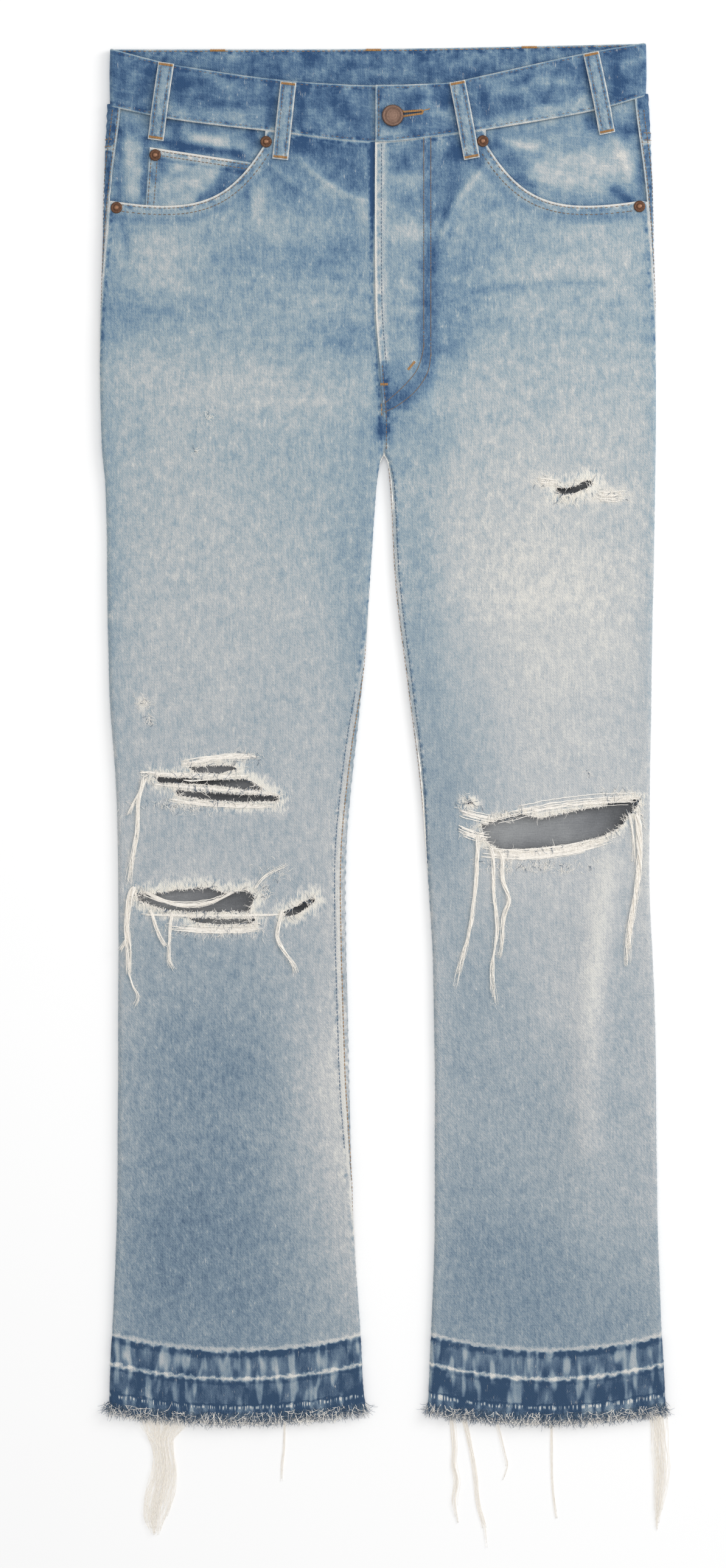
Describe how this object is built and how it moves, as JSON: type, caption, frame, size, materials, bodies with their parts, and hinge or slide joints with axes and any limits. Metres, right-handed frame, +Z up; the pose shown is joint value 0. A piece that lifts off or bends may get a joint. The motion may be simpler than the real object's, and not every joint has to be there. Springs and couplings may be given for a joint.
{
  "type": "ripped jeans laid flat",
  "caption": "Light-wash five-pocket jeans with a button fly, torn knees and thigh, and let-down frayed hems with hanging threads, lying flat on their back.",
  "frame": {"origin": "middle of the underside of the bounding box, on the surface the jeans lie on", "axes": "+X to the wearer's left, +Y towards the waist, +Z up off the surface through the front of the garment"},
  "size_m": [0.4464, 1.1786, 0.0127],
  "materials": {
    "denim_front": "light-wash cotton twill, faded at thighs and knees, with slubs and whiskers",
    "denim_back": "mid-wash cotton twill",
    "denim_waist": "darker worn cotton twill with pale worn edges and ochre bartacks",
    "cream_thread": "loose matt cotton yarn",
    "worn_copper": "dull worn copper"
  },
  "bodies": {
    "root": {"front_panel_right": "denim_front", "front_panel_left": "denim_front", "back_panel_right": "denim_back", "back_panel_left": "denim_back", "yoke_right": "denim_back", "yoke_left": "denim_back", "waistband": "denim_waist", "belt_loop_front_right_outer": "denim_waist", "belt_loop_front_right_inner": "denim_waist", "belt_loop_front_left_inner": "denim_waist", "belt_loop_front_left_outer": "denim_waist", "belt_loop_back_right": "denim_waist", "belt_loop_back_centre": "denim_waist", "belt_loop_back_left": "denim_waist", "pocket_facing_right": "denim_front", "pocket_facing_left": "denim_front", "coin_pocket": "denim_front", "back_pocket_right": "denim_back", "back_pocket_left": "denim_back", "hem_fringe_right": "cream_thread", "hem_fringe_left": "cream_thread", "thread_hank_right_big": "cream_thread", "thread_hank_right_small": "cream_thread", "thread_hank_left_first": "cream_thread", "thread_hank_left_second": "cream_thread", "thread_hank_left_third": "cream_thread", "thread_hank_left_fourth": "cream_thread", "thread_hank_left_big": "cream_thread", "waist_button": "worn_copper", "rivet_right_inner": "worn_copper", "rivet_right_outer": "worn_copper", "rivet_left_inner": "worn_copper", "rivet_left_outer": "worn_copper", "rivet_coin_pocket": "worn_copper"}
  },
  "joints": []
}
